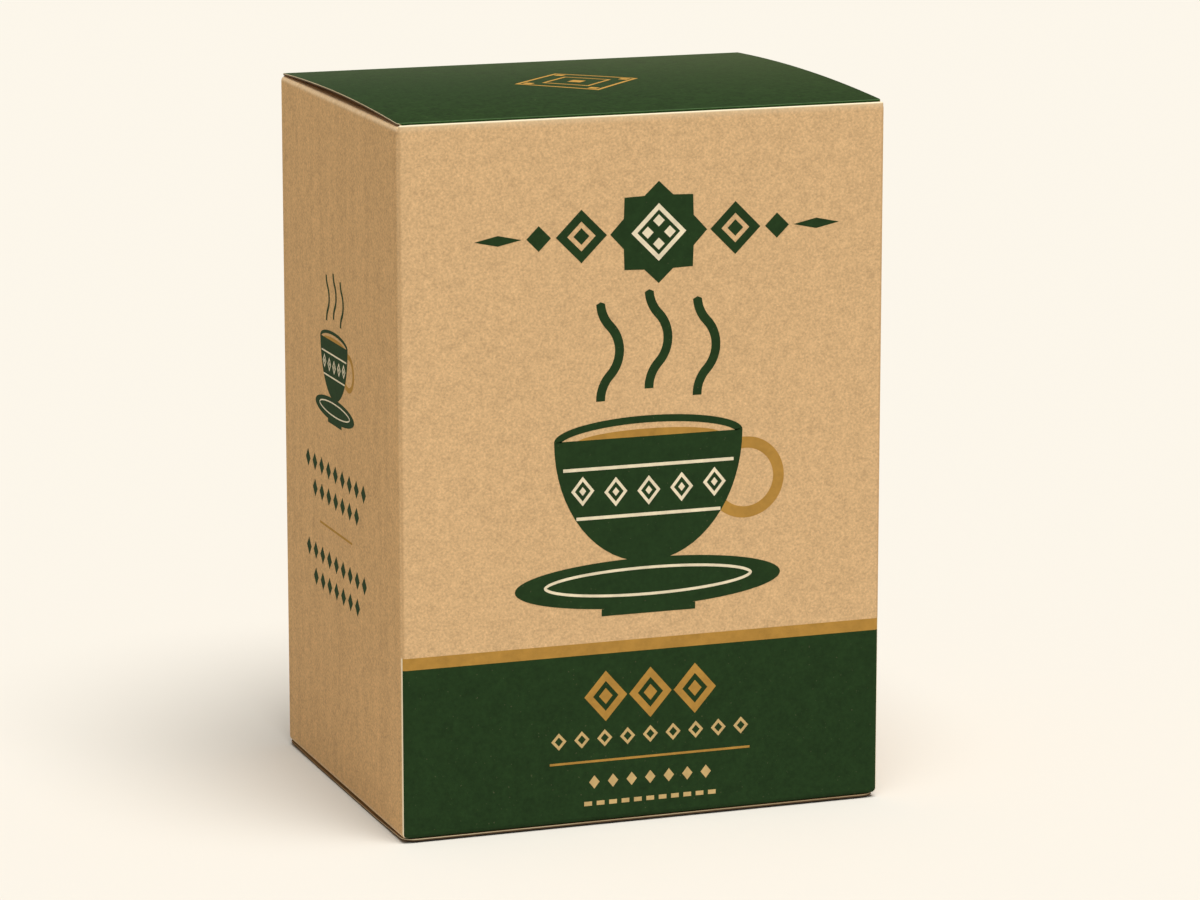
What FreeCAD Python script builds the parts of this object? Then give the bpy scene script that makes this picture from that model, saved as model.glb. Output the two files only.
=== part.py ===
import FreeCAD, Part
import math
import os
import re
import Sketcher

# A shut tuck-top carton, folded from one blank of kraft board and glued along one corner.
# The frame's origin is the middle of the underside: +X to the right, the front faces -Y, +Z up.
# The packed carton is one closed solid, because nothing of its inside can be seen.

doc = FreeCAD.newDocument("kraft_carton")

SIZES = {
    # overall, outside the board; tall is the height of the lid's hinge and of its front fold
    "wide": 92,
    "deep": 73,
    "tall": 130,
    # the board, and the outer radii it takes where it is folded
    "board": 0.36,
    "crease_radius": 0.9,
    "fold_radius": 1.0,
    "hinge_radius": 0.9,
    "tuck_radius": 0.5,
    # the lid: bowed up a little between its hinge and its front fold, and narrower than the carton
    "lid_bow": 0.9,
    "lid_inset": 0.4,
    "lid_gap": 0.12,
    "slot_reach": 4,
    # the tuck: how far the front panel stops below the lid's underside, and the cleft behind it
    "front_drop": 0.04,
    "tuck_gap": 0.14,
    "tuck_reach": 2.5,
    # the bottom flap: it rests on its middle, its front and back stand up a little, its cut edges
    # stand back from the panels, and the panels' folds lie just over it
    "foot_flat": 40,
    "foot_rise": 0.35,
    "flap_inset": 0.3,
    "flap_gap_front": 0.06,
    "flap_gap_side": 0.3,
    "flap_reach": 2,
    # the glue seam: how far the right panel's cut edge stops short of the back crease
    "seam_setback": 0.5,
    # how far the cutting outlines reach beyond the carton
    "waste": 6,
}

sheet = doc.addObject("Spreadsheet::Sheet", "Sizes")
for row, (alias, value) in enumerate(SIZES.items(), start=1):
    sheet.set(f"A{row}", alias)
    sheet.set(f"B{row}", str(value))
    sheet.setAlias(f"B{row}", alias)
doc.recompute()

LEFT_TURN = 1
RIGHT_TURN = -1


def from_sheet(expression):
    """The same expression with the sheet's name before each alias."""
    return re.sub(r"([a-z_]+)", r"Sizes.\1", expression)


def arc_between(start, end, radius, turn):
    """The short arc of that radius from start to end, turning left or right on its way."""
    chord = end - start
    inward = FreeCAD.Vector(-chord.y, chord.x, 0).normalize() * turn
    centre = (start + end) / 2 + inward * math.sqrt(radius ** 2 - (chord.Length / 2) ** 2)
    circle = Part.Circle(centre, FreeCAD.Vector(0, 0, 1), radius)
    first, last = (start, end) if turn == LEFT_TURN else (end, start)
    first_angle = circle.parameter(first)
    last_angle = circle.parameter(last)
    if last_angle < first_angle:
        last_angle += 2 * math.pi
    return Part.ArcOfCircle(circle, first_angle, last_angle)


def draw_outline(sketch, corners):
    """Draws one closed outline in the sketch and binds all of it to the sheet.

    A corner is (across, up), or (across, up, radius, turn) where an arc leads to the next corner.
    All but the turn are expressions in the sheet's aliases.
    """
    places = []
    for across, up, *_ in corners:
        places.append(FreeCAD.Vector(
            sketch.evalExpression(from_sheet(across)),
            sketch.evalExpression(from_sheet(up)),
            0,
        ))

    def bind(kind, value, expression, *where):
        number = sketch.addConstraint(Sketcher.Constraint(kind, *where, value))
        sketch.setExpression(f"Constraints[{number}]", from_sheet(expression))

    # each edge with the numbers of its starting and its ending point
    edges = []
    for index, (_, _, *arc) in enumerate(corners):
        start = places[index]
        end = places[(index + 1) % len(places)]
        if not arc:
            edge = sketch.addGeometry(Part.LineSegment(start, end))
            edges.append((edge, 1, 2))
            continue
        expression, turn = arc
        radius = sketch.evalExpression(from_sheet(expression))
        edge = sketch.addGeometry(arc_between(start, end, radius, turn))
        bind("Radius", radius, expression, edge)
        # a sketch keeps its arcs anticlockwise, so a right turn is gone through backwards
        edges.append((edge, 1, 2) if turn == LEFT_TURN else (edge, 2, 1))

    for index, (across, up, *_) in enumerate(corners):
        edge, first, _ = edges[index]
        before, _, before_last = edges[index - 1]
        sketch.addConstraint(Sketcher.Constraint("Coincident", before, before_last, edge, first))
        bind("DistanceX", places[index].x, across, -1, 1, edge, first)
        bind("DistanceY", places[index].y, up, -1, 1, edge, first)


def mirrored(corners):
    """The outline on the other side of across = 0, gone round the same way."""
    flipped = []
    for index in range(len(corners)):
        across, up, *_ = corners[-index]
        # the edge that leaves this corner now is the one that led to it before
        _, _, *arc = corners[-index - 1]
        flipped.append((f"-({across})", up, *arc))
    return flipped


def new_sketch(body, name, plane, outlines):
    """A sketch of closed outlines on one of the body's own origin planes."""
    sketch = body.newObject("Sketcher::SketchObject", name)
    planes = {feature.Role: feature for feature in body.Origin.OriginFeatures}
    sketch.AttachmentSupport = [(planes[plane], "")]
    sketch.MapMode = "FlatFace"
    for outline in outlines:
        draw_outline(sketch, outline)
    return sketch


def cut(body, name, sketch, length=None):
    """Cuts the sketch away, evenly to both sides of its plane: right through, or over a length."""
    before = body.Shape.Volume
    pocket = body.newObject("PartDesign::Pocket", name)
    pocket.Profile = sketch
    pocket.SideType = "Symmetric"
    pocket.Type = "Length" if length else "ThroughAll"
    if length:
        pocket.setExpression("Length", from_sheet(length))
    doc.recompute()
    if not body.Shape.Volume < before:
        raise RuntimeError(f"{name} cut nothing away")


carton = doc.addObject("PartDesign::Body", "carton")
carton.Label = "carton"

# ---- sleeve: the front, left, back and right panels, seen from above --------------------------
# Three corners are creased. At the fourth the right panel's cut edge lies over the glue flap,
# which folds off the back panel one board thickness further in.
sleeve_outline = [
    ("-wide / 2 + crease_radius", "-deep / 2"),
    ("wide / 2 - crease_radius", "-deep / 2", "crease_radius", LEFT_TURN),
    ("wide / 2", "-deep / 2 + crease_radius"),
    ("wide / 2", "deep / 2 - crease_radius - seam_setback"),
    ("wide / 2 - board", "deep / 2 - crease_radius - seam_setback"),
    ("wide / 2 - board", "deep / 2 - crease_radius", "crease_radius", LEFT_TURN),
    ("wide / 2 - board - crease_radius", "deep / 2"),
    ("-wide / 2 + crease_radius", "deep / 2", "crease_radius", LEFT_TURN),
    ("-wide / 2", "deep / 2 - crease_radius"),
    ("-wide / 2", "-deep / 2 + crease_radius", "crease_radius", LEFT_TURN),
]
sleeve = carton.newObject("PartDesign::Pad", "sleeve")
sleeve.Profile = new_sketch(carton, "sleeve_outline", "XY_Plane", [sleeve_outline])
sleeve.Type = "Length"
sleeve.setExpression("Length", from_sheet("tall + lid_bow + waste"))
doc.recompute()

# ---- closures: the lid and the bottom flap, seen from the side --------------------------------
# Round from the bottom flap's cut front edge: along the underside, over its hinge, up the back
# panel, over the lid's hinge, along the bowed lid, down its tuck and back up the cleft, then
# down the front panel to its fold and in over the bottom flap.
FLAP_TOP = "foot_rise + board"
LID_FRONT = "-deep / 2 + board + tuck_gap + tuck_radius"
HINGE_LINE = "deep / 2 - hinge_radius"
HALF_LID = f"(({HINGE_LINE}) - ({LID_FRONT})) / 2"
BOW_RADIUS = f"(({HALF_LID}) ^ 2 + lid_bow ^ 2) / (2 * lid_bow)"

side_outline = [
    ("-deep / 2 + flap_inset", "foot_rise"),
    ("-foot_flat / 2", "0"),
    ("foot_flat / 2", "0"),
    (HINGE_LINE, "foot_rise", "hinge_radius", LEFT_TURN),
    ("deep / 2", "foot_rise + hinge_radius"),
    ("deep / 2", "tall - hinge_radius", "hinge_radius", LEFT_TURN),
    (HINGE_LINE, "tall", BOW_RADIUS, LEFT_TURN),
    (LID_FRONT, "tall", "tuck_radius", LEFT_TURN),
    ("-deep / 2 + board + tuck_gap", "tall - tuck_radius"),
    ("-deep / 2 + board + tuck_gap", "tall - tuck_radius - tuck_reach"),
    ("-deep / 2 + board", "tall - tuck_radius - tuck_reach"),
    ("-deep / 2 + board", "tall - board - front_drop"),
    ("-deep / 2", "tall - board - front_drop"),
    ("-deep / 2", f"{FLAP_TOP} + flap_gap_front + fold_radius", "fold_radius", LEFT_TURN),
    ("-deep / 2 + fold_radius", f"{FLAP_TOP} + flap_gap_front"),
    ("-deep / 2 + flap_reach", f"{FLAP_TOP} + flap_gap_front"),
    ("-deep / 2 + flap_reach", FLAP_TOP),
    ("-deep / 2 + flap_inset", FLAP_TOP),
]
side_frame = [
    ("-deep / 2 - waste", "-waste"),
    ("deep / 2 + waste", "-waste"),
    ("deep / 2 + waste", "tall + lid_bow + 2 * waste"),
    ("-deep / 2 - waste", "tall + lid_bow + 2 * waste"),
]
closures = new_sketch(carton, "side_outline", "YZ_Plane", [side_frame, side_outline])
cut(carton, "closures", closures)

# ---- bottom folds: the side panels fold in over the bottom flap, seen from the front ----------
bottom_fold = [
    ("wide / 2", f"{FLAP_TOP} + flap_gap_side + fold_radius", "fold_radius", RIGHT_TURN),
    ("wide / 2 - fold_radius", f"{FLAP_TOP} + flap_gap_side"),
    ("wide / 2 - flap_reach", f"{FLAP_TOP} + flap_gap_side"),
    ("wide / 2 - flap_reach", FLAP_TOP),
    ("wide / 2 - flap_inset", FLAP_TOP),
    ("wide / 2 - flap_inset", "-waste"),
    ("wide / 2 + waste", "-waste"),
    ("wide / 2 + waste", f"{FLAP_TOP} + flap_gap_side + fold_radius"),
]
bottom = new_sketch(carton, "bottom_fold", "XZ_Plane", [bottom_fold, mirrored(bottom_fold)])
cut(carton, "bottom_folds", bottom)

# ---- dust flaps: the side panels fold in under the lid, between the front and back panels -----
CROWN = "tall - board - lid_gap"
dust_fold = [
    ("wide / 2", f"{CROWN} - fold_radius", "fold_radius", LEFT_TURN),
    ("wide / 2 - fold_radius", CROWN),
    ("wide / 2 - slot_reach", CROWN),
    ("wide / 2 - slot_reach", "tall - board"),
    ("wide / 2 + waste", "tall - board"),
    ("wide / 2 + waste", f"{CROWN} - fold_radius"),
]
dust = new_sketch(carton, "dust_fold", "XZ_Plane", [dust_fold, mirrored(dust_fold)])
cut(carton, "dust_folds", dust, "deep - 2 * board")

# ---- lid edges: the lid's cut edges stand back from the side panels ---------------------------
lid_waste = [
    ("wide / 2 - lid_inset", "tall - board"),
    ("wide / 2 + waste", "tall - board"),
    ("wide / 2 + waste", "tall + lid_bow + waste"),
    ("wide / 2 - lid_inset", "tall + lid_bow + waste"),
]
edges = new_sketch(carton, "lid_waste", "XZ_Plane", [lid_waste, mirrored(lid_waste)])
cut(carton, "lid_edges", edges)

# ---- slots under the lid and over the bottom flap, along both sides ----------------------------
# Both sheets bend away from the straight folds of the side panels. The lid slot's top is the lid's
# underside, an arc about the same axis as its upper face.
UNDERSIDE_RADIUS = f"{BOW_RADIUS} - board"
lid_slot = [
    (LID_FRONT, "tall - board - lid_gap / 2"),
    (HINGE_LINE, "tall - board - lid_gap / 2"),
    (HINGE_LINE, "tall - board", UNDERSIDE_RADIUS, LEFT_TURN),
    (LID_FRONT, "tall - board"),
]
flap_slot = [
    ("-deep / 2 + flap_reach", f"{FLAP_TOP} + flap_gap_side / 2"),
    ("-deep / 2 + flap_reach", FLAP_TOP),
    ("-foot_flat / 2", "board"),
    ("foot_flat / 2", "board"),
    (HINGE_LINE, FLAP_TOP),
    (HINGE_LINE, f"{FLAP_TOP} + flap_gap_side / 2"),
]
slots = (("lid_slot", lid_slot, "slot_reach"), ("flap_slot", flap_slot, "flap_reach"))
for name, outline, reach in slots:
    for side, outward in (("left", -1), ("right", 1)):
        before = carton.Shape.Volume
        sketch = new_sketch(carton, f"{name}_{side}_outline", "YZ_Plane", [outline])
        sketch.setExpression("AttachmentOffset.Base.z", from_sheet(f"{outward} * wide / 2"))
        pocket = carton.newObject("PartDesign::Pocket", f"{name}_{side}")
        pocket.Profile = sketch
        pocket.Type = "Length"
        pocket.Reversed = outward < 0
        pocket.setExpression("Length", from_sheet(reach))
        doc.recompute()
        if not carton.Shape.Volume < before:
            raise RuntimeError(f"{name} cut nothing away on the {side}")

# ---- check every object, then write the sub-part ----------------------------------------------
for thing in doc.Objects:
    if "Invalid" in thing.State or "Error" in thing.State:
        raise RuntimeError(f"{thing.Label} is {thing.State}")

os.makedirs("parts", exist_ok=True)
for body in (carton,):
    if body.Shape.isNull() or not body.Shape.isValid():
        raise RuntimeError(f"{body.Label} has no valid shape")
    if len(body.Shape.Solids) != 1:
        raise RuntimeError(f"{body.Label} has {len(body.Shape.Solids)} solids")
    body.Shape.exportStep(f"parts/{body.Label}.step")
    box = body.Shape.BoundBox
    print(f"{body.Label}: {box.XLength:.2f} x {box.YLength:.2f} x {box.ZLength:.2f} mm, "
          f"{body.Shape.Volume / 1000:.1f} cm3, {len(body.Shape.Faces)} faces")
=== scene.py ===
import math

import bmesh
import bpy
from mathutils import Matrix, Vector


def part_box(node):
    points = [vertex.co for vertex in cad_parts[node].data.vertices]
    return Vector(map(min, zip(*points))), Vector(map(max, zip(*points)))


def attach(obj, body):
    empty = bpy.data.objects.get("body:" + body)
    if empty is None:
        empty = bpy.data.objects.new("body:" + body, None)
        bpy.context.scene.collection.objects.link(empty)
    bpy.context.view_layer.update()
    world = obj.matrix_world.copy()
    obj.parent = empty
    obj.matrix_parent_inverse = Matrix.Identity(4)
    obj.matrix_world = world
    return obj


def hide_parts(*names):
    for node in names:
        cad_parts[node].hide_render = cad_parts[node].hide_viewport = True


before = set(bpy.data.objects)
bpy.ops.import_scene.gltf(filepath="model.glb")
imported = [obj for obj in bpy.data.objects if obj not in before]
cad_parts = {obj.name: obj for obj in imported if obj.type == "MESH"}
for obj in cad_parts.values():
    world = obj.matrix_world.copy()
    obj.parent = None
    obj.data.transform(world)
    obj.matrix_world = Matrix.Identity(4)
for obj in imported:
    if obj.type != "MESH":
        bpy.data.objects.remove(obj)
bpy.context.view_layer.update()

MM = 0.001

# ---- side and back panels -----------------------------------------------------------------------
# The left, back and right panels of the blank, of 0.36 mm kraft board. Their creases are rounded, the
# side panels fold in over the bottom and under the lid, and at the back right the right panel's cut
# edge is glued over a flap of the back panel.
low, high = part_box("carton")
board = 0.36 * MM
lid_bow = 0.9 * MM
tall = high.z - lid_bow
flap_rise = 0.35 * MM
front_fold_bottom = flap_rise + board + 0.06 * MM
side_fold_lift = 0.10 * MM
front_top = tall - 0.26 * MM
dust_fold_top = tall - board - 0.12 * MM
crease_radius = 0.95 * MM
panel_behind = low.y + board
seam_y = high.y - 1.4 * MM
seam_step = 0.03 * MM
level_to = 2 * MM


def pick(kind, wanted):
    """Selects only the corners, edges or faces of the open piece that pass the test."""
    shape = bmesh.from_edit_mesh(bpy.context.edit_object.data)
    bpy.ops.mesh.select_mode(type=kind)
    bpy.ops.mesh.select_all(action="DESELECT")
    parts = {"VERT": shape.verts, "EDGE": shape.edges, "FACE": shape.faces}[kind]
    for part in parts:
        if wanted(part):
            part.select_set(True)
    shape.select_flush_mode()
    bmesh.update_edit_mesh(bpy.context.edit_object.data)


def is_sharp(edge):
    return edge.is_manifold and edge.calc_face_angle() > math.radians(60)


def slice_at(place, facing, **keep):
    """Cuts the whole open piece along a plane."""
    bpy.ops.mesh.select_all(action="SELECT")
    bpy.ops.mesh.bisect(plane_co=place, plane_no=facing, **keep)


def open_block(name, corner, far_corner):
    """A block between two corners, the only thing selected, open for shaping."""
    bpy.ops.object.select_all(action="DESELECT")
    middle = [(a + b) / 2 for a, b in zip(corner, far_corner)]
    size = [b - a for a, b in zip(corner, far_corner)]
    bpy.ops.mesh.primitive_cube_add(size=1, location=middle, scale=size)
    bpy.ops.object.transform_apply(location=True, rotation=True, scale=True)
    block = bpy.context.object
    block.name = name
    bpy.ops.object.mode_set(mode="EDIT")
    return block


def open_creased_block(name, top, top_folds):
    """The carton's four walls up to a height: creased corners, folds at the bottom and maybe the top.
    The bottom is level in the middle and stands a little higher at the two side panels."""
    block = open_block(name, (low.x, low.y, front_fold_bottom), (high.x, high.y, top))
    slice_at((low.x + level_to, 0, 0), (1, 0, 0))
    slice_at((high.x - level_to, 0, 0), (1, 0, 0))
    pick("VERT", lambda v: v.co.z < level_to and abs(v.co.x) > high.x - 0.1 * MM)
    bpy.ops.transform.translate(value=(0, 0, side_fold_lift))
    pick("EDGE", lambda e: is_sharp(e) and (top_folds or min(v.co.z for v in e.verts) < top - 0.1 * MM))
    bpy.ops.mesh.bevel(offset=crease_radius, segments=6, affect="EDGES")
    return block


def smooth_folds(piece):
    """Shades the folds round, while the flat panels beside them stay flat."""
    bpy.ops.object.shade_smooth_by_angle(angle=math.radians(35))
    flat = piece.modifiers.new("flat_panels", "WEIGHTED_NORMAL")
    flat.keep_sharp = True
    flat.weight = 100
    bpy.ops.object.modifier_apply(modifier=flat.name)


def close_piece(piece):
    """Ends the shaping, with all faces outwards: a closed piece that is inside out has a volume below 0."""
    bpy.ops.mesh.select_all(action="SELECT")
    bpy.ops.mesh.normals_make_consistent(inside=False)
    if bmesh.from_edit_mesh(piece.data).calc_volume(signed=True) < 0:
        bpy.ops.mesh.flip_normals()
    bpy.ops.object.mode_set(mode="OBJECT")
    smooth_folds(piece)


sides = open_creased_block("side_and_back_panels", dust_fold_top, True)
slice_at((0, panel_behind, 0), (0, -1, 0), use_fill=True, clear_outer=True)
slice_at((0, seam_y, 0), (0, 1, 0))
slice_at((0, seam_y + seam_step, 0), (0, 1, 0))
pick("VERT", lambda v: v.co.y > seam_y + seam_step / 2 and v.co.x > high.x - 1.5 * MM)
bpy.ops.transform.translate(value=(-board, 0, 0))
close_piece(sides)

# The board itself: brown fibres pressed flat, with fine grain, cloudy patches and short dark and
# pale fibres. Every kraft face of the carton uses this, each in its own tone.


def new_group(name, inputs, outputs):
    """An empty effect with named inputs and outputs, each given as (kind, name, value)."""
    group = bpy.data.node_groups.new(name, "ShaderNodeTree")
    for kind, label, value in inputs:
        socket = group.interface.new_socket(label, in_out="INPUT", socket_type="NodeSocket" + kind)
        if value is not None:
            socket.default_value = value
    for kind, label in outputs:
        group.interface.new_socket(label, in_out="OUTPUT", socket_type="NodeSocket" + kind)
    return group, group.nodes.new("NodeGroupInput"), group.nodes.new("NodeGroupOutput")


def connect(tree, node, **sockets):
    """Links or sets a node's sockets: by name, with _ for a space, or by number, as in_0."""
    for label, given in sockets.items():
        number = label.split("_")[-1]
        socket = node.inputs[int(number)] if number.isdigit() else node.inputs[label.replace("_", " ")]
        if isinstance(given, bpy.types.NodeSocket):
            tree.links.new(given, socket)
        else:
            socket.default_value = given
    return node


def maths(tree, operation, first, second=0.0, third=0.0):
    node = tree.nodes.new("ShaderNodeMath")
    node.operation = operation
    connect(tree, node, in_0=first, in_1=second, in_2=third)
    return node.outputs[0]


def ramp(tree, value, start, end, low_value=0.0, high_value=1.0):
    """Eases from one value to another while the input goes from start to end."""
    node = tree.nodes.new("ShaderNodeMapRange")
    node.interpolation_type = "SMOOTHSTEP"
    connect(tree, node, in_0=value, in_1=start, in_2=end, in_3=low_value, in_4=high_value)
    return node.outputs[0]


def blend_colours(tree, factor, first, second):
    node = tree.nodes.new("ShaderNodeMix")
    node.data_type = "RGBA"
    connect(tree, node, in_0=factor, in_6=first, in_7=second)
    return node.outputs[2]


def scale_colour(tree, colour, amount):
    node = tree.nodes.new("ShaderNodeVectorMath")
    node.operation = "SCALE"
    connect(tree, node, in_0=colour, Scale=amount)
    return node.outputs[0]


def noise(tree, place, stretch, detail=2.0, turn=(0, 0, 0)):
    """Noise with a given number of blotches to the metre along each axis, from 0 to 1."""
    mapping = tree.nodes.new("ShaderNodeMapping")
    connect(tree, mapping, Vector=place, Scale=stretch, Rotation=turn)
    cloud = tree.nodes.new("ShaderNodeTexNoise")
    connect(tree, cloud, Vector=mapping.outputs[0], Scale=1.0, Detail=detail, Roughness=0.6)
    return cloud.outputs[0]


kraft_fibre, given, result = new_group(
    "kraft_fibre",
    [("Vector", "Place", None), ("Color", "Board", (0.6, 0.4, 0.2, 1)), ("Float", "Grain", 0.3),
     ("Float", "Streaks", 0.1)],
    [("Color", "Colour"), ("Float", "Height")],
)
place = given.outputs["Place"]
grain = maths(kraft_fibre, "SUBTRACT", noise(kraft_fibre, place, (2400, 2400, 2600), 2.0), 0.5)
cloud = maths(kraft_fibre, "SUBTRACT", noise(kraft_fibre, place, (380, 380, 420), 3.0), 0.5)
streak = maths(kraft_fibre, "SUBTRACT", noise(kraft_fibre, place, (420, 420, 22)), 0.5)
dash = noise(kraft_fibre, place, (620, 620, 2600), 1.0, (0.0, 0.25, 0.0))
dark_fibre = ramp(kraft_fibre, dash, 0.68, 0.80)
dash = noise(kraft_fibre, place, (900, 900, 2800), 1.0, (0.0, -0.6, 0.4))
pale_fibre = ramp(kraft_fibre, dash, 0.68, 0.76)
tone = maths(kraft_fibre, "MULTIPLY", grain, given.outputs["Grain"])
tone = maths(kraft_fibre, "MULTIPLY_ADD", cloud, 0.30, tone)
tone = maths(kraft_fibre, "MULTIPLY_ADD", streak, given.outputs["Streaks"], tone)
tone = maths(kraft_fibre, "MULTIPLY_ADD", dark_fibre, -0.09, tone)
tone = maths(kraft_fibre, "MULTIPLY_ADD", pale_fibre, 0.08, tone)
tone = maths(kraft_fibre, "ADD", tone, 1.0)
colour = scale_colour(kraft_fibre, given.outputs["Board"], tone)
kraft_fibre.links.new(colour, result.inputs["Colour"])
height = maths(kraft_fibre, "MULTIPLY_ADD", pale_fibre, 0.5, grain)
kraft_fibre.links.new(height, result.inputs["Height"])

# Where board is creased or folded its skin cracks a little and pale fibres show, in a thin broken
# line. The group turns a distance from the fold's line into a mask of that line.
# The same mask also carries a painted shade along the front panel's creases and a painted highlight along
# the lid's folds.
fold_wear_shade_and_highlight, given, result = new_group(
    "fold_wear_shade_and_highlight",
    [("Vector", "Place", None), ("Float", "Distance", 0.0), ("Float", "Width", 0.0005)],
    [("Float", "Mask")],
)
near = maths(fold_wear_shade_and_highlight, "DIVIDE", given.outputs["Distance"], given.outputs["Width"])
near = ramp(fold_wear_shade_and_highlight, near, 0.3, 1.0, 1.0, 0.0)
broken = noise(fold_wear_shade_and_highlight, given.outputs["Place"], (900, 900, 700))
broken = ramp(fold_wear_shade_and_highlight, broken, 0.25, 0.6, 0.55, 1.0)
worn = maths(fold_wear_shade_and_highlight, "MULTIPLY", near, broken)
fold_wear_shade_and_highlight.links.new(worn, result.inputs["Mask"])


def new_material(name, roughness, specular=0.3):
    """A material with its shader, and the place on the piece that its patterns follow."""
    material = bpy.data.materials.new(name)
    material.use_nodes = True
    tree = material.node_tree
    shader = tree.nodes["Principled BSDF"]
    shader.inputs["Roughness"].default_value = roughness
    shader.inputs["Specular IOR Level"].default_value = specular
    place = tree.nodes.new("ShaderNodeTexCoord").outputs["Object"]
    return material, tree, shader, place


def use(tree, group, **sockets):
    node = tree.nodes.new("ShaderNodeGroup")
    node.node_tree = group
    return connect(tree, node, **sockets)


def across(tree, place):
    node = tree.nodes.new("ShaderNodeSeparateXYZ")
    tree.links.new(place, node.inputs[0])
    return node.outputs


def line_distance(tree, coordinate, line):
    """How far the coordinate is from a line, whichever side of it."""
    return maths(tree, "ABSOLUTE", maths(tree, "SUBTRACT", coordinate, line))


def emboss(tree, shader, height, depth, strength=0.5):
    node = tree.nodes.new("ShaderNodeBump")
    connect(tree, node, Height=height, Distance=depth, Strength=strength)
    tree.links.new(node.outputs[0], shader.inputs["Normal"])


# Pale fibres show along the creases and folds. Beside the green and gold inks the bare board of the front
# crease is painted paler still: bare board with a painted highlight. The green runs on round the front's
# bottom fold.
SIDE_KRAFT = (0.612, 0.378, 0.172, 1)
PALE_FIBRE = (0.80, 0.66, 0.46, 1)
BARE_CREASE_HIGHLIGHT = (0.88, 0.76, 0.54, 1)
SEAM_SHADOW = (0.16, 0.09, 0.04, 1)
GREEN_INK = (0.0147, 0.0376, 0.0100, 1)
stripe_top = 34.2 * MM
kraft_sides, tree, shader, place = new_material("kraft_side_board", 0.9, 0.12)
fibre = use(tree, kraft_fibre, Place=place, Board=SIDE_KRAFT, Grain=1.00, Streaks=0.24)
x, y, z = across(tree, place)
crease_line = line_distance(tree, maths(tree, "ABSOLUTE", x), high.x - 0.35 * MM)
crease_reach = line_distance(tree, maths(tree, "ABSOLUTE", y), high.y - 0.35 * MM)
corner = maths(tree, "MAXIMUM", crease_line, crease_reach)
crease = use(tree, fold_wear_shade_and_highlight, Place=place, Distance=corner, Width=0.6 * MM).outputs[0]
top_fold = line_distance(tree, z, dust_fold_top - 0.15 * MM)
top_fold = use(tree, fold_wear_shade_and_highlight, Place=place, Distance=top_fold, Width=1.1 * MM).outputs[0]
bottom_fold = line_distance(tree, z, 1.3 * MM)
bottom_fold = use(tree, fold_wear_shade_and_highlight, Place=place, Distance=bottom_fold, Width=0.7 * MM).outputs[0]
worn = maths(tree, "MULTIPLY", maths(tree, "MAXIMUM", top_fold, bottom_fold), 0.4)
worn = maths(tree, "MAXIMUM", worn, maths(tree, "MULTIPLY", crease, 0.12))
colour = blend_colours(tree, worn, fibre.outputs["Colour"], PALE_FIBRE)
at_front = ramp(tree, y, low.y + 0.42 * MM, low.y + 0.60 * MM, 1.0, 0.0)
# Painted highlight: the bare crease beside the inks is painted pale.
by_the_ink = ramp(tree, z, stripe_top - 0.1 * MM, stripe_top + 0.2 * MM, 0.9, 0.0)
by_the_ink = maths(tree, "MULTIPLY", at_front, by_the_ink)
colour = blend_colours(tree, by_the_ink, colour, BARE_CREASE_HIGHLIGHT)
under_front = ramp(tree, z, front_fold_bottom + 0.3 * MM, front_fold_bottom + 0.4 * MM, 1.0, 0.0)
behind_front = ramp(tree, y, low.y + 1.3 * MM, low.y + 1.4 * MM, 1.0, 0.0)
under_front = maths(tree, "MULTIPLY", under_front, behind_front)
clear_of_corner = ramp(tree, maths(tree, "ABSOLUTE", x), high.x - 0.45 * MM, high.x - 0.35 * MM, 1.0, 0.0)
under_front = maths(tree, "MULTIPLY", under_front, clear_of_corner)
colour = blend_colours(tree, under_front, colour, GREEN_INK)
on_right = ramp(tree, x, high.x - 2 * MM, high.x - 1 * MM)
seam_edge = ramp(tree, line_distance(tree, y, seam_y - 0.05 * MM), 0.03 * MM, 0.12 * MM, 0.6, 0.0)
seam_edge = maths(tree, "MULTIPLY", seam_edge, on_right)
colour = blend_colours(tree, seam_edge, colour, PALE_FIBRE)
# Painted shadow: a dark line beside the seam's step, next to the pale cut edge.
painted_seam_shadow = ramp(tree, line_distance(tree, y, seam_y + 0.14 * MM), 0.05 * MM, 0.20 * MM, 0.75, 0.0)
painted_seam_shadow = maths(tree, "MULTIPLY", painted_seam_shadow, on_right)
colour = blend_colours(tree, painted_seam_shadow, colour, SEAM_SHADOW)
tree.links.new(colour, shader.inputs["Base Color"])
emboss(tree, shader, fibre.outputs["Height"], 0.05 * MM)
sides.data.materials.append(kraft_sides)
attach(sides, "root")
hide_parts("carton")

# ---- front panel --------------------------------------------------------------------------------
# The blank's front panel, printed with a dark green band and a gold stripe. Its top edge is cut and
# stands free in front of the lid's tuck; its bottom folds in over the bottom flap.
band_top = 32.0 * MM
ink_blur = 0.03 * MM
cut_rounding = 0.22 * MM

front = open_creased_block("front_panel", front_top, False)
slice_at((0, panel_behind, 0), (0, 1, 0), use_fill=True, clear_outer=True)
pick("EDGE", lambda e: is_sharp(e) and min(v.co.z for v in e.verts) > front_top - 0.1 * MM
     and min(v.co.y for v in e.verts) < panel_behind - 0.01 * MM)
bpy.ops.mesh.bevel(offset=cut_rounding, segments=3, affect="EDGES")
close_piece(front)

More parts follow.
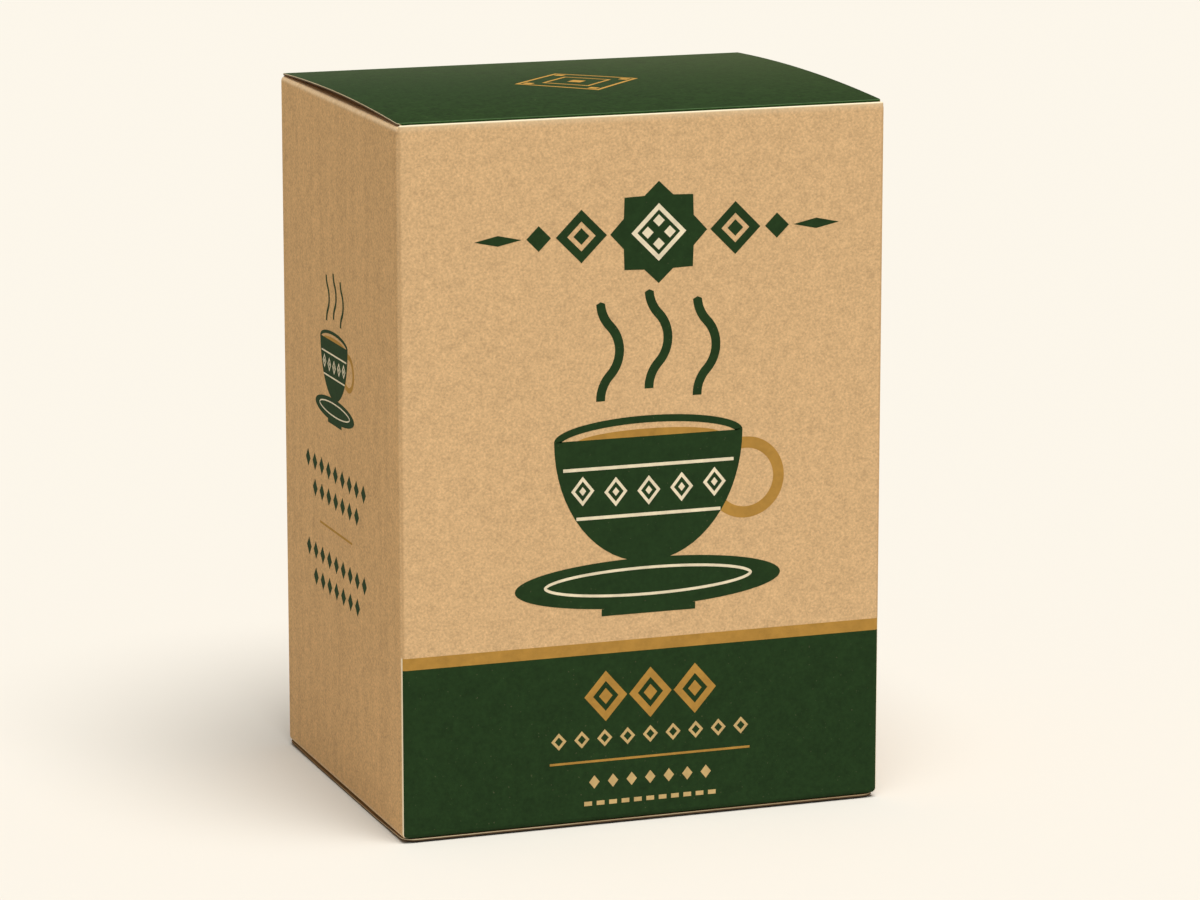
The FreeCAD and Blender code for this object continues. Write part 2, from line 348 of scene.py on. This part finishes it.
# Printing ink soaks into the kraft, so the fibres still show through it as a faint mottle, and here and
# there as a bare speck.
BARE_SPECK = (0.45, 0.36, 0.22, 1)
ink_film, given, result = new_group(
    "ink_film",
    [("Vector", "Place", None), ("Color", "Ink", (0.02, 0.04, 0.01, 1)), ("Float", "Show Through", 0.3)],
    [("Color", "Colour"), ("Float", "Height")],
)
place = given.outputs["Place"]
grain = maths(ink_film, "SUBTRACT", noise(ink_film, place, (1100, 1100, 1100), 2.0), 0.5)
cloud = maths(ink_film, "SUBTRACT", noise(ink_film, place, (350, 350, 350)), 0.5)
tone = maths(ink_film, "MULTIPLY", grain, given.outputs["Show Through"])
tone = maths(ink_film, "MULTIPLY_ADD", cloud, 0.52, tone)
tone = maths(ink_film, "ADD", tone, 1.0)
colour = scale_colour(ink_film, given.outputs["Ink"], tone)
pinhole = ramp(ink_film, noise(ink_film, place, (2100, 2100, 2100), 1.0), 0.74, 0.80, 0.0, 0.10)
colour = blend_colours(ink_film, pinhole, colour, BARE_SPECK)
ink_film.links.new(colour, result.inputs["Colour"])
ink_film.links.new(grain, result.inputs["Height"])

GOLD_INK = (0.420, 0.225, 0.045, 1)
FRONT_KRAFT = (0.640, 0.417, 0.211, 1)
CREASE_SHADE = (0.42, 0.25, 0.11, 1)
TOP_EDGE_HIGHLIGHT = (0.80, 0.64, 0.42, 1)
CUT_BOARD = (0.86, 0.75, 0.53, 1)
kraft_front, tree, shader, place = new_material("kraft_front_printed", 0.9, 0.12)
fibre = use(tree, kraft_fibre, Place=place, Board=FRONT_KRAFT, Grain=0.80, Streaks=0.05)
green = use(tree, ink_film, Place=place, Ink=GREEN_INK, Show_Through=0.60)
gold = use(tree, ink_film, Place=place, Ink=GOLD_INK, Show_Through=0.22)
x, y, z = across(tree, place)
below_band = ramp(tree, z, band_top - ink_blur, band_top + ink_blur, 1.0, 0.0)
below_stripe = ramp(tree, z, stripe_top - ink_blur, stripe_top + ink_blur, 1.0, 0.0)
printed_to = ramp(tree, x, low.x + 0.12 * MM, low.x + 0.22 * MM)
# Painted shade: a broken darker line along the creases.
crease_line = line_distance(tree, maths(tree, "ABSOLUTE", x), high.x - 0.30 * MM)
crease_line = use(tree, fold_wear_shade_and_highlight, Place=place, Distance=crease_line, Width=0.45 * MM).outputs[0]
crease_line = maths(tree, "MULTIPLY", crease_line, 0.4)
board_colour = blend_colours(tree, crease_line, fibre.outputs["Colour"], CREASE_SHADE)
colour = blend_colours(tree, below_stripe, board_colour, gold.outputs["Colour"])
colour = blend_colours(tree, below_band, colour, green.outputs["Colour"])
# Painted highlight: below the stripe, the bare board at the crease is painted pale.
bare_fold_highlight = blend_colours(tree, below_stripe, board_colour, BARE_CREASE_HIGHLIGHT)
colour = blend_colours(tree, printed_to, bare_fold_highlight, colour)
# Painted highlight: the board is painted paler towards the cut top edge.
top_edge_highlight = ramp(tree, z, front_top - 1.6 * MM, front_top - 0.2 * MM, 0.0, 0.35)
colour = blend_colours(tree, top_edge_highlight, colour, TOP_EDGE_HIGHLIGHT)
cut_edge = ramp(tree, z, front_top - 0.42 * MM, front_top - 0.10 * MM)
colour = blend_colours(tree, cut_edge, colour, CUT_BOARD)
tree.links.new(colour, shader.inputs["Base Color"])
emboss(tree, shader, fibre.outputs["Height"], 0.05 * MM)
front.data.materials.append(kraft_front)
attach(front, "root")
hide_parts("carton")

# ---- lid ----------------------------------------------------------------------------------------
# The lid is hinged on the back panel, bowed up by the flaps under it, and ends in a tuck behind the
# front panel. Its face is printed green, and its two sides are raw cut edges.
hinge_radius = 0.9 * MM
tuck_radius = 0.5 * MM
tuck_gap = 0.14 * MM
tuck_reach = 3 * MM
lid_inset = 0.4 * MM
hinge_y = high.y - hinge_radius
tuck_y = panel_behind + tuck_gap + tuck_radius
half_lid = (hinge_y - tuck_y) / 2
lid_middle = (hinge_y + tuck_y) / 2
bow_radius = (half_lid ** 2 + lid_bow ** 2) / (2 * lid_bow)
bow_angle = 2 * math.asin(half_lid / bow_radius)
bow_centre = tall + lid_bow - bow_radius


def open_strip(name, half_width, bottom, top):
    """An upright strip at the back face, from which a flap of the blank is folded."""
    bpy.ops.object.select_all(action="DESELECT")
    bpy.ops.mesh.primitive_plane_add(
        size=1, location=(0, high.y, (bottom + top) / 2), rotation=(math.radians(90), 0, 0))
    strip = bpy.context.object
    strip.scale = (2 * half_width, top - bottom, 1)
    bpy.ops.object.transform_apply(location=True, rotation=True, scale=True)
    strip.name = name
    bpy.ops.object.mode_set(mode="EDIT")
    return strip


def fold_on(steps, angle, centre_y, centre_z):
    """Carries the selected edge round a fold that runs from left to right."""
    bpy.ops.mesh.spin(steps=steps, angle=angle, center=(0, centre_y, centre_z), axis=(-1, 0, 0))


def draw_on(run_y, run_z):
    """Carries the selected edge straight on."""
    bpy.ops.mesh.extrude_region_move(TRANSFORM_OT_translate={"value": (0, run_y, run_z)})


def give_thickness(piece, facing_up):
    """Makes the open sheet a board's thickness inwards, its cut edges in the second material and its
    inner face in the third. The attribute "depth" runs from 0 on its upper to 1 on its lower face."""
    bpy.ops.mesh.select_all(action="SELECT")
    bpy.ops.mesh.remove_doubles(threshold=0.001 * MM)
    bpy.ops.mesh.normals_make_consistent(inside=False)
    shape = bmesh.from_edit_mesh(piece.data)
    upward = sum(face.normal.z * face.calc_area() for face in shape.faces)
    if (upward > 0) != facing_up:
        bpy.ops.mesh.flip_normals()
    bpy.ops.object.mode_set(mode="OBJECT")
    outer_corners = len(piece.data.vertices)
    for _ in ("outer face", "cut edges", "inner face"):
        piece.data.materials.append(None)
    wall = piece.modifiers.new("board", "SOLIDIFY")
    wall.thickness = board
    wall.offset = -1
    wall.use_even_offset = True
    wall.material_offset_rim = 1
    wall.material_offset = 2
    bpy.ops.object.modifier_apply(modifier=wall.name)
    depth = piece.data.attributes.new("depth", "FLOAT", "POINT")
    for number, corner in enumerate(depth.data):
        corner.value = float((number >= outer_corners) == facing_up)
    smooth_folds(piece)


def narrow_beyond(line, widths):
    """Rounds the corners of an end of the sheet: past each distance from the line it gets narrower."""
    way = math.copysign(1, line)
    for past, narrower in widths:
        pick("VERT", lambda v: (v.co.y - line) * way > past * MM)
        bpy.ops.transform.resize(value=(narrower, 1, 1), center_override=(0, 0, 0))


def finish_sheet(piece, outer_face, cut_edges, inner_face):
    for number, finish in enumerate((outer_face, cut_edges, inner_face)):
        piece.data.materials[number] = finish


lid = open_strip("lid", high.x - lid_inset, dust_fold_top - crease_radius, tall - hinge_radius)
pick("EDGE", lambda e: min(v.co.z for v in e.verts) > tall - hinge_radius - 0.01 * MM)
fold_on(6, math.radians(90), hinge_y, tall - hinge_radius)
fold_on(32, bow_angle, lid_middle, bow_centre)
fold_on(6, math.radians(90), tuck_y, tall - tuck_radius)
draw_on(0, -tuck_reach)
for before in (0.3 * MM, 0.7 * MM):
    slice_at((0, tuck_y + before, 0), (0, 1, 0))
narrow_beyond(tuck_y, ((-0.4, 0.9985), (-0.1, 0.9966), (0.2, 0.996), (0.4, 0.993)))
narrow_beyond(hinge_y, ((0.2, 0.998), (0.5, 0.9955), (0.75, 0.995), (0.88, 0.9965)))
give_thickness(lid, True)

BACK_KRAFT = (0.630, 0.398, 0.188, 1)
LID_GREEN_INK = (0.0138, 0.0328, 0.0074, 1)
SHEEN_TINT = (0.55, 0.56, 0.15, 1)
FOLD_HIGHLIGHT_GREEN = (0.080, 0.150, 0.060, 1)
lid_ink, tree, shader, place = new_material("lid_green_print", 0.35, 0.001)
green = use(tree, ink_film, Place=place, Ink=LID_GREEN_INK, Show_Through=1.2)
fibre = use(tree, kraft_fibre, Place=place, Board=BACK_KRAFT, Grain=0.2, Streaks=0.1)
x, y, z = across(tree, place)
# Painted highlight: a broken line of lighter green along the lid's front and back folds.
front_line = line_distance(tree, y, tuck_y + 0.1 * MM)
front_line = use(tree, fold_wear_shade_and_highlight, Place=place, Distance=front_line, Width=0.34 * MM).outputs[0]
back_line = line_distance(tree, y, hinge_y)
back_line = use(tree, fold_wear_shade_and_highlight, Place=place, Distance=back_line, Width=0.4 * MM).outputs[0]
fold_highlight = maths(tree, "MULTIPLY", maths(tree, "MAXIMUM", front_line, back_line), 0.8)
# Painted sheen: the green is painted paler and yellower towards the back and the right, as a grazing sheen.
towards_back = maths(tree, "MULTIPLY_ADD", x, 0.5, y)
painted_sheen = ramp(tree, towards_back, -30 * MM, 75 * MM, 0.0, 0.026)
colour = blend_colours(tree, painted_sheen, green.outputs["Colour"], SHEEN_TINT)
colour = blend_colours(tree, fold_highlight, colour, FOLD_HIGHLIGHT_GREEN)
ink_ends = ramp(tree, z, tall - 1.5 * MM, tall - 1.3 * MM)
on_back = ramp(tree, y, 0.0, 1 * MM)
bare = maths(tree, "MULTIPLY", on_back, maths(tree, "SUBTRACT", 1.0, ink_ends))
colour = blend_colours(tree, bare, colour, fibre.outputs["Colour"])
tree.links.new(colour, shader.inputs["Base Color"])
emboss(tree, shader, fibre.outputs["Height"], 0.04 * MM, 0.4)

# Where the board is cut its layers show: paler fibres, and below them the brown fibres of its skin, painted
# dark enough to stand in for shade under the edge as well. Low down on the carton the cut is painted
# darker, the more so towards the back: painted shade.
DARK_SHADED_CORE = (0.34, 0.22, 0.10, 1)
PALE_CORE = (0.80, 0.68, 0.46, 1)
SKIN_AND_SHADE_BROWN = (0.095, 0.055, 0.026, 1)
cut_board, tree, shader, place = new_material("cut_board_edge", 0.9, 0.2)
depth = tree.nodes.new("ShaderNodeAttribute")
depth.attribute_name = "depth"
rough_cut = maths(tree, "MULTIPLY_ADD", noise(tree, place, (500, 500, 500)), 0.14, depth.outputs["Fac"])
core = ramp(tree, rough_cut, 0.34, 0.58, 1.0, 0.0)
x, y, z = across(tree, place)
# The cut is paler towards the left side and darker towards the right.
tint = maths(tree, "MULTIPLY_ADD", x, -6.0, noise(tree, place, (60, 60, 60), 1.0))
behind_front = maths(tree, "SUBTRACT", y, low.y)
shade_towards_back = maths(tree, "MULTIPLY", ramp(tree, z, 4 * MM, 6 * MM, 14.0, 0.0), behind_front)
tint = maths(tree, "SUBTRACT", tint, shade_towards_back)
core_colour = blend_colours(tree, tint, DARK_SHADED_CORE, PALE_CORE)
colour = blend_colours(tree, core, SKIN_AND_SHADE_BROWN, core_colour)
tree.links.new(colour, shader.inputs["Base Color"])

# Painted shade: the inner faces, and the dust flaps in the slots under the lid, are painted far darker than
# the board.
SHADED_INNER_KRAFT = (0.36, 0.21, 0.09, 1)
shaded_inner_board, tree, shader, place = new_material("shaded_inner_board_face", 0.9, 0.2)
fibre = use(tree, kraft_fibre, Place=place, Board=SHADED_INNER_KRAFT, Grain=0.25, Streaks=0.1)
tree.links.new(fibre.outputs["Colour"], shader.inputs["Base Color"])
emboss(tree, shader, fibre.outputs["Height"], 0.05 * MM)
finish_sheet(lid, lid_ink, cut_board, shaded_inner_board)
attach(lid, "root")
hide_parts("carton")

# ---- dust flaps ---------------------------------------------------------------------------------
# The two flaps folded in under the lid spring up against it. They show only as a slope at the bottom
# of the slots along the lid's sides, so one pad that rises from the side folds to the lid is both.
dust_reach = high.x - 5 * MM
dust_rise = 4 * MM
dust_start = tall - board + 0.06 * MM
dust_strip = 0.04 * MM
bpy.ops.object.select_all(action="DESELECT")
bpy.ops.mesh.primitive_plane_add(size=1, location=(0, hinge_y - 0.05 * MM, dust_start),
                                 rotation=(math.radians(90), 0, 0))
dust_flaps = bpy.context.object
dust_flaps.name = "dust_flaps"
dust_flaps.scale = (2 * dust_reach, dust_strip, 1)
bpy.ops.object.transform_apply(location=True, rotation=True, scale=True)
bpy.ops.object.mode_set(mode="EDIT")
pick("EDGE", lambda e: min(v.co.z for v in e.verts) > dust_start + dust_strip / 4)
fold_on(24, bow_angle * 0.99, lid_middle, bow_centre)
pick("VERT", lambda v: v.co.z < dust_start - dust_strip / 4)
bpy.ops.mesh.delete(type="VERT")
bpy.ops.mesh.select_all(action="SELECT")
bpy.ops.mesh.extrude_region_move(TRANSFORM_OT_translate={"value": (0, 0, -1.2 * MM)})
bpy.ops.transform.resize(value=(1, 1, 0), center_override=(0, 0, dust_fold_top - 0.1 * MM))
bpy.ops.transform.resize(value=((dust_reach + dust_rise) / dust_reach, 1, 1), center_override=(0, 0, 0))
close_piece(dust_flaps)
# Painted shade: the pad takes the darker inner board.
dust_flaps.data.materials.append(shaded_inner_board)
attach(dust_flaps, "root")
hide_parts("carton")

# ---- bottom flap --------------------------------------------------------------------------------
# Hinged on the back panel, it closes the bottom over the other flaps. It rests on its middle, and its
# front and back stand up a little, so that its cut edges show under the panels.
flap_inset = 0.3 * MM
foot_half = 20 * MM
flap_corner = 2.4 * MM
flap_hinge = flap_rise + hinge_radius
flap = open_strip("bottom_flap", high.x - flap_inset, flap_hinge, front_fold_bottom + crease_radius)
pick("EDGE", lambda e: max(v.co.z for v in e.verts) < flap_hinge + 0.01 * MM)
fold_on(6, -math.radians(90), hinge_y, flap_hinge)
draw_on(foot_half - hinge_y, -flap_rise)
draw_on(-2 * foot_half, 0)
draw_on(low.y + flap_inset + foot_half, flap_rise)
pick("VERT", lambda v: v.co.y < low.y + flap_inset + 0.01 * MM)
bpy.ops.mesh.bevel(offset=flap_corner, segments=6, affect="VERTICES")
narrow_beyond(hinge_y, ((0.2, 0.998), (0.5, 0.9955), (0.75, 0.994), (0.88, 0.996)))
give_thickness(flap, False)
finish_sheet(flap, kraft_sides, cut_board, shaded_inner_board)
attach(flap, "root")
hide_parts("carton")

# ---- print on the front panel -------------------------------------------------------------------
# Spot inks over the kraft: a star ornament, a steaming teacup in green with a gold handle and cream
# figures, and rows of gold on the band. Each ink is a closed film a few hundredths of a millimetre
# thick, drawn flat and then laid on its panel.
ink_sunk = 0.01 * MM
ink_proud = 0.02 * MM
UPRIGHT = (math.radians(90), 0, 0)


def open_print(name):
    """An empty print at the origin, open for drawing in millimetres across and up."""
    bpy.ops.object.select_all(action="DESELECT")
    bpy.ops.object.add(type="MESH", enter_editmode=True, location=(0, 0, 0))
    bpy.context.object.name = name
    return bpy.context.object


def sized(across, up, width, height, stroke):
    """Gives the shape just drawn its size, and leaves only its outline if it has a stroke."""
    bpy.ops.transform.resize(value=(width, 1, height), center_override=(across * MM, 0, up * MM))
    if stroke:
        bpy.ops.mesh.inset(thickness=stroke * MM)
        bpy.ops.mesh.delete(type="FACE")


def lozenge(across, up, width, height, stroke=0.0):
    bpy.ops.mesh.select_all(action="DESELECT")
    bpy.ops.mesh.primitive_circle_add(vertices=4, radius=0.5 * MM, fill_type="NGON",
                                      location=(across * MM, 0, up * MM), rotation=UPRIGHT)
    sized(across, up, width, height, stroke)


def bar(across, up, width, height, over=0.0):
    bpy.ops.mesh.select_all(action="DESELECT")
    bpy.ops.mesh.primitive_plane_add(size=MM, location=(across * MM, -over * MM, up * MM), rotation=UPRIGHT)
    sized(across, up, width, height, 0.0)


def disc(across, up, width, height, stroke=0.0, over=0.0):
    bpy.ops.mesh.select_all(action="DESELECT")
    bpy.ops.mesh.primitive_circle_add(vertices=64, radius=0.5 * MM, fill_type="NGON",
                                      location=(across * MM, -over * MM, up * MM), rotation=UPRIGHT)
    sized(across, up, width, height, stroke)


def star(across, up, size, points, depth):
    """A star whose inner corners stand back to a share of its size."""
    bpy.ops.mesh.select_all(action="DESELECT")
    bpy.ops.mesh.primitive_circle_add(vertices=2 * points, radius=size * MM / 2, fill_type="NGON",
                                      location=(across * MM, 0, up * MM), rotation=UPRIGHT)
    every = math.pi / points
    pick("VERT", lambda v: math.hypot(v.co.x - across * MM, v.co.z - up * MM) < 0.51 * size * MM
         and round(math.atan2(v.co.z - up * MM, v.co.x - across * MM) / every) % 2 == 1)
    bpy.ops.transform.resize(value=(depth, 1, depth), center_override=(across * MM, 0, up * MM))


def bowl(across, up, width, height, over=0.0):
    """The lower half of an ellipse, hung from a height."""
    disc(across, up, width, 2 * height, over=over)
    bpy.ops.mesh.bisect(plane_co=(0, 0, up * MM), plane_no=(0, 0, 1), use_fill=False, clear_outer=True)


def curl(across, up, width, radius, sweep, first):
    """A line of ink that rises in an S, bending first to one side, and ends in a point."""
    bar(across, up - 0.1, width, 0.2)
    start_z = up * MM
    pick("EDGE", lambda e: all(abs(v.co.z - start_z) < 1e-6 and abs(v.co.x - across * MM) < width * MM
                               for v in e.verts))
    near_x = (across + first * radius) * MM
    far_x = (across + first * radius * (1 - 2 * math.cos(sweep))) * MM
    rise = 2 * radius * MM * math.sin(sweep)
    for centre_x, centre_z, bend in ((near_x, start_z, sweep), (far_x, start_z + rise, -2 * sweep),
                                     (near_x, start_z + 2 * rise, sweep)):
        bpy.ops.mesh.spin(steps=12, angle=first * bend, center=(centre_x, 0, centre_z), axis=(0, -1, 0))
    bpy.ops.mesh.merge(type="CENTER")


def ink_layer(piece, lift=0.0):
    """Makes the drawn shapes one closed film: sunk a little into the board, and a little proud."""
    bpy.ops.mesh.select_all(action="SELECT")
    bpy.ops.transform.translate(value=(0, ink_sunk, 0))
    bpy.ops.mesh.extrude_region_move(TRANSFORM_OT_translate={"value": (0, -ink_sunk - ink_proud - lift, 0)})
    bpy.ops.mesh.select_all(action="SELECT")
    bpy.ops.mesh.normals_make_consistent(inside=False)
    bpy.ops.object.mode_set(mode="OBJECT")


def new_ink(name, ink, show_through):
    """A matte printing ink, with the board's fibres showing through."""
    finish, tree, shader, place = new_material(name, 0.85, 0.12)
    film = use(tree, ink_film, Place=place, Ink=ink, Show_Through=show_through)
    tree.links.new(film.outputs["Colour"], shader.inputs["Base Color"])
    emboss(tree, shader, film.outputs["Height"], 0.04 * MM)
    return finish


CREAM_INK = (0.780, 0.680, 0.480, 1)
green_print = new_ink("green_print", GREEN_INK, 0.45)
gold_print = new_ink("gold_print", GOLD_INK, 0.22)
cream_print = new_ink("cream_print", CREAM_INK, 0.20)

cup_x = 0.8
cup_rim = 71.5
cup_wide = 36
saucer = 44.6
cup_green = open_print("teacup_green")
bowl(cup_x, cup_rim, cup_wide, 23)
disc(cup_x, cup_rim, cup_wide, 7.6, 1.3, over=0.004)
disc(cup_x, saucer, 51, 9.2, over=0.004)
bar(cup_x, saucer - 5, 18, 1.3, over=0.008)
for across, rise in ((-8.4, 78.6), (cup_x, 80.4), (10.0, 78.6)):
    curl(across, rise, 1.7, 6.4, math.radians(44), 1)
ink_layer(cup_green)
cup_green.data.materials.append(green_print)

cup_gold = open_print("teacup_gold")
disc(cup_x + 18.6, cup_rim - 8.9, 15, 15, 2.1)
disc(cup_x, cup_rim - 0.4, 27.5, 3.6)
ink_layer(cup_gold, -0.01 * MM)
cup_gold.data.materials.append(gold_print)

cup_cream = open_print("teacup_cream")
for across in (-12.6, -6.3, 0.0, 6.3, 12.6):
    rise = cup_rim - 9.9 + across * across * 0.004
    lozenge(cup_x + across, rise, 4.4, 5.4, 0.55)
    lozenge(cup_x + across, rise, 1.3, 1.6)
bar(cup_x, cup_rim - 5.3, 32.6, 0.6)
bar(cup_x, cup_rim - 14.3, 27.6, 0.6)
disc(cup_x, saucer + 0.3, 40, 5.4, 0.5, over=0.004)
ink_layer(cup_cream, 0.02 * MM)
cup_cream.data.materials.append(cream_print)

star_x = 2.6
star_up = 108.4
star_green = open_print("star_ornament_green")
star(star_x, star_up, 18.4, 8, 0.78)
for way in (-1, 1):
    lozenge(star_x + way * 14.6, star_up, 9.6, 9.6, 1.5)
    lozenge(star_x + way * 14.6, star_up, 3.0, 3.0)
    lozenge(star_x + way * 22.6, star_up, 4.6, 4.6)
    lozenge(star_x + way * 30.2, star_up, 8.8, 1.9)
ink_layer(star_green)
star_green.data.materials.append(green_print)

star_cream = open_print("star_ornament_cream")
lozenge(star_x, star_up, 10.4, 10.4, 0.8)
FOUR_WAYS = ((1, 0), (-1, 0), (0, 1), (0, -1))
for across, up in FOUR_WAYS:
    lozenge(star_x + 2.1 * across, star_up + 2.1 * up, 2.2, 2.2)
ink_layer(star_cream, 0.02 * MM)
star_cream.data.materials.append(cream_print)

band_x = 1.2
band_gold = open_print("band_gold")
for step in (-1, 0, 1):
    lozenge(band_x + 8.6 * step, 24.1, 8.2, 9.4, 1.25)
    lozenge(band_x + 8.6 * step, 24.1, 2.6, 3.0)
bar(band_x, 12.1, 38.7, 0.42)
ink_layer(band_gold)
band_gold.data.materials.append(gold_print)

PALE_GOLD_INK = (0.560, 0.390, 0.165, 1)
pale_gold_print = new_ink("pale_gold_print", PALE_GOLD_INK, 0.22)
band_pale = open_print("band_pale_gold")
for step in range(-4, 5):
    lozenge(band_x + 4.4 * step, 16.3, 2.9, 3.2, 0.5)
for step in range(-3, 4):
    lozenge(band_x + 3.6 * step, 8.2, 2.0, 2.5)
for step in range(-5, 6):
    bar(band_x + 2.4 * step, 4.2, 1.5, 0.8)
ink_layer(band_pale)
band_pale.data.materials.append(pale_gold_print)

# ---- print on the side panels -------------------------------------------------------------------
# The same teacup, small, over rows of little figures and a gold rule, alike on the left and the right.
row_pitch = 4.4
rows_green = open_print("side_rows_green")
for height in (54.6, 37.6):
    for step in range(-4, 5):
        lozenge(row_pitch * step, height + 5, 3.0, 3.4)
    for step in range(-3, 4):
        lozenge(row_pitch * step, height, 3.0, 3.4)
ink_layer(rows_green)
rows_green.data.materials.append(green_print)
rows_gold = open_print("side_rule_gold")
bar(0, 48.8, 20.5, 0.45)
ink_layer(rows_gold)
rows_gold.data.materials.append(gold_print)


def lay_print(source, name, size, across, up, turn, out):
    """Lays a copy of a flat print on a panel: its size, its place, and the panel's turn and distance."""
    bpy.ops.object.select_all(action="DESELECT")
    source.select_set(True)
    bpy.context.view_layer.objects.active = source
    bpy.ops.object.duplicate()
    copy = bpy.context.object
    copy.name = name
    copy.scale = (size, 1, size)
    copy.rotation_euler = (0, 0, turn)
    copy.location = (across * math.cos(turn) + out * math.sin(turn),
                     across * math.sin(turn) - out * math.cos(turn), up)
    bpy.ops.object.transform_apply(location=True, rotation=True, scale=True)
    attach(copy, "root")
    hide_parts("carton")


small = 0.48
small_up = 50.2 * MM
cup_prints = (cup_green, cup_gold, cup_cream)
front_prints = cup_prints + (star_green, star_cream, band_gold, band_pale)
row_prints = (rows_green, rows_gold)
for side_name, turn, shift in (("left", -math.radians(90), -3.2 * MM), ("right", math.radians(90), 0.0)):
    for layer in cup_prints:
        lay_print(layer, side_name + "_small_" + layer.name, small,
                  shift - small * cup_x * MM, small_up, turn, high.x)
    for layer in row_prints:
        lay_print(layer, side_name + "_" + layer.name, 1.0, shift, 0.0, turn, high.x)
for layer in front_prints:
    lay_print(layer, "front_" + layer.name, 1.0, 0.0, 0.0, 0.0, high.y)
for layer in front_prints + row_prints:
    bpy.data.objects.remove(layer)

# ---- ornament on the lid ------------------------------------------------------------------------
# A gold figure of lozenges, printed in the middle of the lid and following its bow.
lid_gold = open_print("lid_ornament_gold")
lozenge(0, 0, 24, 24, 0.65)
lozenge(0, 0, 13.5, 13.5, 0.55)
lozenge(0, 0, 3.6, 3.6)
for across, up in FOUR_WAYS:
    lozenge(9.3 * across, 9.3 * up, 2.4, 2.4)
bpy.ops.mesh.select_all(action="SELECT")
bpy.ops.mesh.subdivide(number_cuts=5)
bpy.ops.object.mode_set(mode="OBJECT")
lid_gold.rotation_euler = (-math.radians(90), 0, 0)
lid_gold.location = (0, 0, tall + 2 * MM)
bpy.ops.object.transform_apply(location=True, rotation=True, scale=True)
follow = lid_gold.modifiers.new("follow_bow", "SHRINKWRAP")
follow.target = lid
follow.wrap_method = "PROJECT"
follow.use_project_z = True
follow.use_negative_direction = True
follow.use_positive_direction = False
follow.offset = ink_proud
bpy.ops.object.modifier_apply(modifier=follow.name)
film = lid_gold.modifiers.new("film", "SOLIDIFY")
film.thickness = ink_proud + ink_sunk
film.offset = -1
bpy.ops.object.modifier_apply(modifier=film.name)
lid_gold.data.materials.append(gold_print)
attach(lid_gold, "root")
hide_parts("carton")

# ---- studio -------------------------------------------------------------------------------------
# A plain pale floor under faint daylight, with a large soft key light high up in front, a little to
# the right. Seen directly, the room is as pale as the floor.
FLOOR_PAINT = (0.652, 0.618, 0.553, 1)
bpy.ops.object.select_all(action="DESELECT")
bpy.ops.mesh.primitive_circle_add(vertices=96, radius=20, fill_type="NGON", location=(0, 0, -0.02 * MM))
floor = bpy.context.object
floor.name = "floor"
bpy.ops.object.transform_apply(location=True, rotation=True, scale=True)
floor_paint = bpy.data.materials.new("floor_paint")
floor_paint.use_nodes = True
floor_shader = floor_paint.node_tree.nodes["Principled BSDF"]
floor_shader.inputs["Base Color"].default_value = FLOOR_PAINT
floor_shader.inputs["Roughness"].default_value = 1.0
floor_shader.inputs["Specular IOR Level"].default_value = 0.0
floor.data.materials.append(floor_paint)

DAYLIGHT = (1.0, 0.985, 0.965, 1)
PALE_ROOM = (0.965, 0.913, 0.815, 1)
room_light = 0.29
key_light = 1.27
key_height = math.radians(72.7)
key_turn = math.radians(9.6)
world = bpy.data.worlds.new("room")
bpy.context.scene.world = world
world.use_nodes = True
tree = world.node_tree
tree.nodes.clear()
lit = tree.nodes.new("ShaderNodeBackground")
lit.inputs["Color"].default_value = DAYLIGHT
lit.inputs["Strength"].default_value = room_light
seen = tree.nodes.new("ShaderNodeBackground")
seen.inputs["Color"].default_value = PALE_ROOM
ray = tree.nodes.new("ShaderNodeLightPath")
direct = maths(tree, "MAXIMUM", ray.outputs["Is Camera Ray"], ray.outputs["Is Glossy Ray"])
direct = maths(tree, "MAXIMUM", direct, ray.outputs["Is Transmission Ray"])
either = tree.nodes.new("ShaderNodeMixShader")
tree.links.new(direct, either.inputs[0])
tree.links.new(lit.outputs[0], either.inputs[1])
tree.links.new(seen.outputs[0], either.inputs[2])
tree.links.new(either.outputs[0], tree.nodes.new("ShaderNodeOutputWorld").inputs[0])

bpy.ops.object.light_add(type="SUN", rotation=(math.radians(90) - key_height, 0, key_turn))
key = bpy.context.object
key.name = "key_light"
key.data.energy = key_light * math.pi
key.data.angle = math.radians(40)

view_distance = 0.9203
view_turn = math.radians(-19.733)
view_height = math.radians(11.883)
aim = (0.00458, 0.0, 0.061416)
bpy.ops.object.camera_add(
    location=(aim[0] + view_distance * math.sin(view_turn) * math.cos(view_height),
              aim[1] - view_distance * math.cos(view_turn) * math.cos(view_height),
              aim[2] + view_distance * math.sin(view_height)),
    rotation=(math.radians(90) - view_height, 0, view_turn))
camera = bpy.context.object
camera.name = "camera"
camera.data.lens = 147.86
camera.data.sensor_width = 36
camera.data.clip_end = 100
bpy.context.scene.camera = camera
bpy.context.scene.view_settings.view_transform = "Standard"
